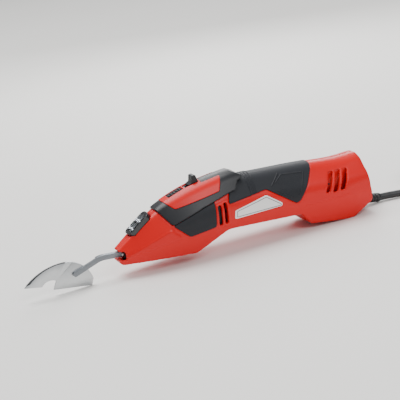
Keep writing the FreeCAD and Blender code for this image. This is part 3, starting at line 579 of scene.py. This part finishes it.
def studs(name, places, radius_mm, seed, body, material):
    """Studs on a list of (place, normal), as one plain mesh."""
    mesh = bpy.data.meshes.new(name)
    mesh.from_pydata([place - normal * STUD_SUNK * MM for place, normal in places], [], [])
    holder = bpy.data.objects.new(name, mesh)
    bpy.context.scene.collection.objects.link(holder)
    group = stud_network(material)
    modifier = holder.modifiers.new("studs", "NODES")
    modifier.node_group = group
    for item in group.interface.items_tree:
        if item.name == "Stud radius":
            modifier[item.identifier] = radius_mm * MM
        if item.name == "Seed":
            modifier[item.identifier] = seed
    bpy.context.view_layer.update()
    result = flattened(holder)
    result.shade_smooth()
    return link(name, result, body, material)


SCREEN_HALF = 0.4
BOX_FACES = ((0, 1, 3, 2), (4, 6, 7, 5), (0, 4, 5, 1), (2, 3, 7, 6), (0, 2, 6, 4), (1, 5, 7, 3))


def screens(name, low, high, out_mm, material):
    """A thin flat screen inside each side; low and high are its corners in the side view."""
    shell = bmesh.new()
    for side in SIDES:
        depths = (side * out_mm - SCREEN_HALF, side * out_mm + SCREEN_HALF)
        corners = [(x, y, z) for x in (low[0], high[0]) for y in depths for z in (low[1], high[1])]
        made = [shell.verts.new(at_rest(*corner)) for corner in corners]
        for face in BOX_FACES:
            shell.faces.new([made[i] for i in face])
    bmesh.ops.recalc_face_normals(shell, faces=shell.faces)
    bmesh.ops.bevel(shell, geom=shell.edges[:], offset=0.2 * MM, segments=2, affect="EDGES", profile=0.5)
    mesh = bpy.data.meshes.new(name)
    shell.to_mesh(mesh)
    shell.free()
    return link(name, mesh, "root", material)


# sloping seats: x, z and slope of the lamp's and of the switch's bed
LAMP_SEAT = (-63.9, 38.6, math.radians(38.5))
SLIDE_BED = (-6.6, 67.2, math.radians(14.0))


def on_seat(seat, x, y, z):
    """A point drawn on a sloping seat, as it lies on the bench."""
    seat_x, seat_z, slope = seat
    return at_rest(seat_x + x * math.cos(slope) - z * math.sin(slope), y,
                   seat_z + x * math.sin(slope) + z * math.cos(slope))


# half length, half width and height of each ring of a reflector, from the rim to the diode
BOWL_RINGS = ((4.7, 2.1, -0.75), (3.6, 1.6, -1.1), (2.1, 1.5, -1.45), (1.6, 1.45, -1.5))
BOWL_STEPS = 24
DIODE_X, DIODE_Y = 5.0, 3.1


def make_reflectors(mirror):
    """A bright trough behind each lens, with a sunk bowl over each diode."""
    shell = bmesh.new()
    for y_mid in (-DIODE_Y, DIODE_Y):
        for x_mid in (-DIODE_X, DIODE_X):
            rings = []
            for wide, deep, height in BOWL_RINGS:
                angles = [2 * math.pi * k / BOWL_STEPS for k in range(BOWL_STEPS)]
                ring = [on_seat(LAMP_SEAT, x_mid + wide * math.cos(a), y_mid + deep * math.sin(a), height)
                        for a in angles]
                rings.append([shell.verts.new(place) for place in ring])
            for one, two in zip(rings, rings[1:]):
                for k in range(BOWL_STEPS):
                    after = (k + 1) % BOWL_STEPS
                    shell.faces.new((one[k], one[after], two[after], two[k]))
            shell.faces.new(rings[-1])
    bmesh.ops.recalc_face_normals(shell, faces=shell.faces)
    mesh = bpy.data.meshes.new("lamp_reflectors")
    shell.to_mesh(mesh)
    shell.free()
    mesh.shade_smooth()
    return link("lamp_reflectors", mesh, "root", mirror)


TIE_LOW, TIE_HIGH = Vector((30.8, 0.4)), Vector((54.4, 23.6))   # its corners across the hank, y and z
TIE_HALF, TIE_THICK, TIE_CORNER = 6.0, 0.8, 4.4


def make_tie(strap):
    """Flat strap round one side of the hank, rounded at its corners."""
    shell = bmesh.new()
    low, high = TIE_LOW, TIE_HIGH
    corners = [(high.x, high.y, 0), (low.x, high.y, 90), (low.x, low.y, 180), (high.x, low.y, 270)]
    rows = []
    for x_mm in (-TIE_HALF, TIE_HALF):
        for thick in (0.0, TIE_THICK):
            radius = TIE_CORNER - thick
            loop = []
            for cy, cz, start in corners:
                inward = (1 if cy == low.x else -1, 1 if cz == low.y else -1)
                for k in range(7):
                    angle = math.radians(start + 15 * k)
                    y = cy + inward[0] * TIE_CORNER + radius * math.cos(angle)
                    z = cz + inward[1] * TIE_CORNER + radius * math.sin(angle)
                    loop.append(shell.verts.new(Vector((HANK_CENTRE.x / MM + x_mm, y, z)) * MM))
            rows.append(loop)
    outer_a, inner_a, outer_b, inner_b = rows
    for one, two in ((outer_a, outer_b), (outer_b, inner_b), (inner_b, inner_a), (inner_a, outer_a)):
        for i in range(len(one)):
            j = (i + 1) % len(one)
            shell.faces.new((one[i], one[j], two[j], two[i]))
    bmesh.ops.recalc_face_normals(shell, faces=shell.faces)
    mesh = bpy.data.meshes.new("tie")
    shell.to_mesh(mesh)
    shell.free()
    mesh.shade_smooth()
    mesh.set_sharp_from_angle(angle=math.radians(40))
    return link("hank_tie", mesh, "root", strap)


make_camera()
cover_black = black_abs()
shell_red = red_abs()
grip_soft = soft_grip()
lamp_black = glossy_pc()
lens_clear = clear_pc()
foil_white = printed_foil()
blade_steel = ground_steel()
bar_zinc = zinc_steel()
grit = carbide_grit()
sheath = lead_pvc()
turned_steel = plain_metal("turned_bearing_steel", "#A9ABAE", "#C4C6C8", 6.0, 0.2, 0.34)
cast_zinc = plain_metal("cast_zinc_alloy", "#8E9092", "#A6A8AA", 5.0, 0.4, 0.55)
copper = plain_metal("drawn_copper", "#B86A3E", "#CF8152", 4.0, 0.3, 0.45)
brass = plain_metal("drawn_brass", "#B8923F", "#CFAA55", 5.0, 0.26, 0.4)
nickel = plain_metal("nickel_plated_brass", "#C9C6BC", "#DAD8D0", 6.0, 0.15, 0.25)
sheet_steel = laminations()
inner_black = matt_plastic("inner_black_nylon", "#1D1E20", "#292A2D")
board_green = matt_plastic("lacquered_circuit_board", "#1F5A32", "#2A6B3D", 0.3, 0.42)
carbon = matt_plastic("pressed_carbon", "#1A1A1B", "#262627", 0.6, 0.75)
printed_grey = matt_plastic("grey_printing_ink", "#4A4D52", "#585B60", 0.35, 0.5)
mirror = plain_metal("aluminised_reflector", "#E6E8EA", "#F4F5F6", 6.0, 0.05, 0.12)
woven_strap = matt_plastic("woven_nylon_strap", "#1B1C20", "#26272C", 0.7, 0.85)

lead = make_lead(sheath)
sleeve = make_sleeve(sheath)
tie = make_tie(woven_strap)

FINISHES = {
    turned_steel: ["housing_screws", "pivot_pin", "motor_shaft", "front_bearing_inner", "front_bearing_outer",
                   "front_bearing_balls", "rear_bearing_inner", "rear_bearing_outer", "rear_bearing_balls",
                   "eccentric_roller", "clamp_screws", "holder_screw", "tool_holder", "brush_springs"],
    cast_zinc: ["rocker_arm", "bearing_bridge", "eccentric_hub"],
    sheet_steel: ["stator_core", "armature_core"],
    copper: ["armature_windings", "field_coils", "commutator"],
    brass: ["brush_holders", "pivot_bush"],
    carbon: ["carbon_brushes"],
    inner_black: ["fan", "air_baffle", "power_switch", "suppressor", "terminal_block", "cord_clamp",
                  "rear_bearing_seat", "slide_link"],
    board_green: ["lamp_board", "control_board"],
    sheath: ["inner_lead", "motor_leads", "lamp_leads"],
    nickel: ["plug_pins"],
    foil_white: ["name_plates"],
    lens_clear: ["lamp_lenses"],
    cover_black: ["marker_plate"],
    grip_soft: ["nose_seal"],
}
for finish, nodes in FINISHES.items():
    for node in nodes:
        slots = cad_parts[node].data.materials
        slots.clear()
        slots.append(finish)

shells = [moulded(node, "root", shell_red, 0.8, 3) for node in ("housing_left", "housing_right")]
moulded("hood", "root", cover_black, 0.5, 4)
moulded("hood_insert", "root", shell_red, 0.4, 4)
grip = moulded("grip_pad", "root", grip_soft, 0.5, 3)
moulded("front_pad_left", "root", grip_soft, 0.4, 3)
moulded("front_pad_right", "root", grip_soft, 0.4, 3)
moulded("lamp_bezel", "root", lamp_black, 0.3, 3)
moulded("slide_knob", "switch", cover_black, 0.2, 3)
machined("shank", "rocker", bar_zinc, 0.9, 3)
machined("blade", "rocker", blade_steel, 0.2)
machined("blade_grit", "rocker", grit, 0.15)

plug = moulded("plug_body", "root", sheath, 0.5, 6)
pin_sleeves = make_pin_sleeves(sheath)

grip_tree = tool_tree(grip)
# lines, rings and studded panel of the grip, by the side view
EMBOSSED = [[(70.5, 57.0), (79.2, 63.2), (101.0, 62.0)], [(66.0, 55.2), (76.5, 64.6)],
            [(102.5, 62.5), (100.5, 57.5), (92.2, 42.4), (87.6, 40.6), (70.5, 50.4)]]
RING_PLACES = (43.5, 46.3, 49.1)
RING_ANGLES = range(-84, 85, 4)
PANEL = [(73.5, 56.4), (80.2, 60.8), (99.0, 59.6), (91.0, 44.6), (87.4, 43.2), (73.5, 51.2)]
STUD_ROWS, STUD_COLUMNS = 12, 18
STUD_FIRST = (73.0, 43.0)
STUD_GAP, ROW_GAP = 1.6, 1.5


def panel_places(tree):
    """Staggered rows of places on both sides of the grip, within the panel."""
    places = []
    for side in SIDES:
        for row in range(STUD_ROWS):
            for column in range(STUD_COLUMNS):
                x = STUD_FIRST[0] + column * STUD_GAP + (row % 2) * STUD_GAP / 2
                z = STUD_FIRST[1] + row * ROW_GAP
                hit = from_side(tree, x, z, side) if inside(x, z, PANEL) else None
                if hit:
                    places.append(hit)
    return places


lines = [found_along(grip_tree, corners, side) for side in SIDES for corners in EMBOSSED]
beads("grip_embossing", lines, 0.75, 0.25, "root", grip_soft)
rings = [[hit for hit in (from_round(grip_tree, x, degrees) for degrees in RING_ANGLES) if hit]
         for x in RING_PLACES]
beads("grip_rings", rings, 0.8, 0.3, "root", grip_soft)
studs("grip_panel_studs", panel_places(grip_tree), 0.42, 7, "root", grip_soft)

plate_tree = tool_tree(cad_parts["name_plates"])
BORDER = [(26.6, 38.9), (57.9, 46.8), (74.0, 36.6), (26.2, 33.6), (26.6, 38.9)]
borders = [found_along(plate_tree, BORDER, side) for side in SIDES]
beads("plate_border", borders, 0.35, 0.15, "root", printed_grey)

CREASE = [(97.0, 30.7), (148.5, 34.2)]
creases = [found_along(tool_tree(shell), CREASE, side) for side, shell in zip(SIDES, shells)]
beads("tail_crease", creases, 0.5, 0.36, "root", shell_red)
screens("vent_screens", (119.0, 37.0), (151.5, 58.5), 15.6, shell_red)
# painted shade: a flat dark sheet inside each side, behind the front vent slots, standing for the shade
# within them
screens("front_vent_shade_sheets", (6.6, 27.5), (15.0, 47.0), 20.2, inner_black)
make_reflectors(mirror)
# the knob's top rises from its front edge; four ridges lie across it
ridge_normal = (on_seat(SLIDE_BED, -2.8, 0, 1.0) - on_seat(SLIDE_BED, 0, 0, 0)).normalized()
ridges = []
for part in (0.2, 0.4, 0.6, 0.8):
    ridge = [on_seat(SLIDE_BED, -1.2 + 2.0 * part, y, 2.8 + 5.6 * part) for y in (-3.9, 0, 3.9)]
    ridges.append([(place, ridge_normal) for place in ridge])
beads("knob_ridges", ridges, 0.42, 0.1, "switch", cover_black)


# ---- bench and light ----
LIGHTS_AIM = Vector((0, 0, 0.03))


def make_bench():
    """Wide pale bench just under the tool."""
    bpy.ops.mesh.primitive_plane_add(size=40, location=(0, 0, -0.0002))
    bench = bpy.context.object
    bench.name = "bench"
    material, tree, shader = new_material("pale_bench", Roughness=0.7)
    mottled(tree, shader, "#E6E4E0", "#EBEAE6", 300.0, place_of(tree))
    bench.data.materials.append(material)


def make_light(name, place, size, power):
    """A square soft light turned to the middle of the tool."""
    data = bpy.data.lights.new(name, "AREA")
    data.energy = power
    data.size = size
    light = bpy.data.objects.new(name, data)
    light.location = place
    light.rotation_euler = (Vector(place) - LIGHTS_AIM).to_track_quat("Z", "Y").to_euler()
    bpy.context.scene.collection.objects.link(light)


def make_world():
    """Even, faintly cool light from all round."""
    world = bpy.data.worlds.new("soft_room")
    world.use_nodes = True
    world.node_tree.nodes["Background"].inputs["Color"].default_value = colour("#F2F4F7")
    world.node_tree.nodes["Background"].inputs["Strength"].default_value = 0.5
    bpy.context.scene.world = world


make_bench()
make_world()
make_light("overhead", (-0.3, 0.9, 2.8), 2.2, 125)
make_light("front", (0.3, -1.1, 1.1), 0.7, 9)
make_light("rear_rim", (0.5, 0.9, 0.6), 0.6, 6)
